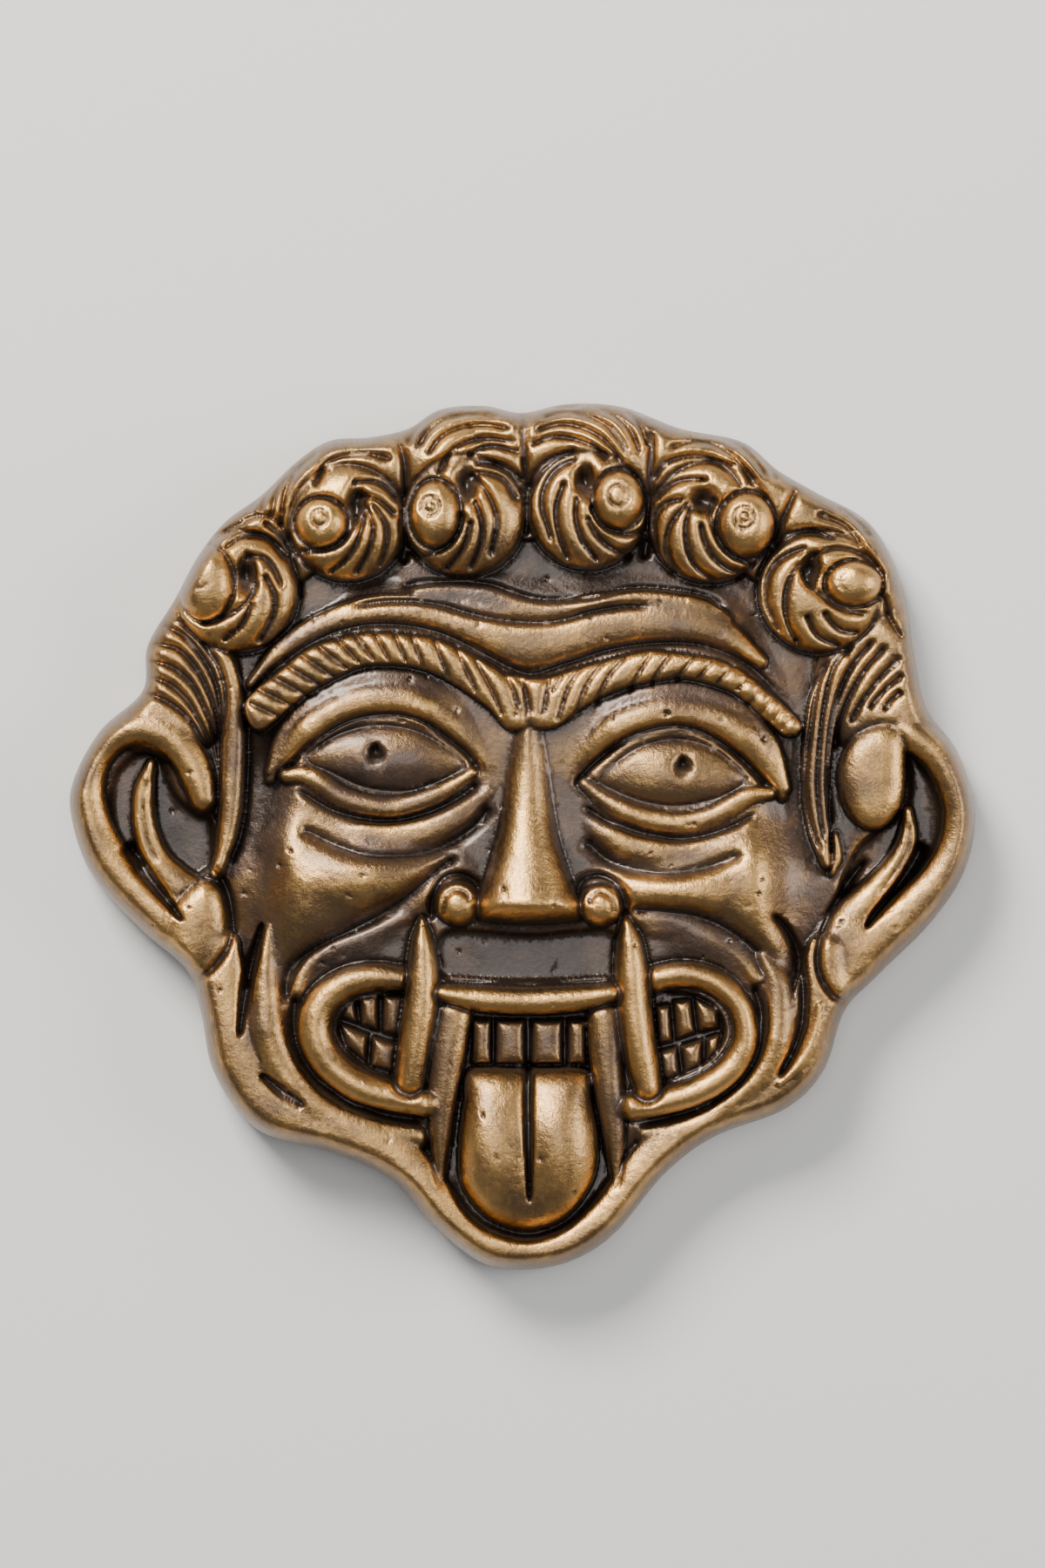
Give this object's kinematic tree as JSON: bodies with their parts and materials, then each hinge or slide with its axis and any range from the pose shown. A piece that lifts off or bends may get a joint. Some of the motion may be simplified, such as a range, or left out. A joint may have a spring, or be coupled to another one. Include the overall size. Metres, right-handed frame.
{
  "type": "gorgon mask ornament",
  "caption": "Cast brass ornament of a grinning gorgon face in high relief, with curled hair, fangs and a hanging tongue, on a flat back.",
  "frame": {"origin": "middle of the flat back, which lies on the surface below", "axes": "+Z out of the face, +Y towards the crown of the head, +X towards the viewer's right, across the ears"},
  "size_m": [0.1036, 0.099, 0.0168],
  "materials": {
    "antique_brass": "cast brass, dark brown patina in the hollows, brushed bright on the raised parts"
  },
  "bodies": {
    "root": {"gorgon_mask": "antique_brass"}
  },
  "joints": []
}
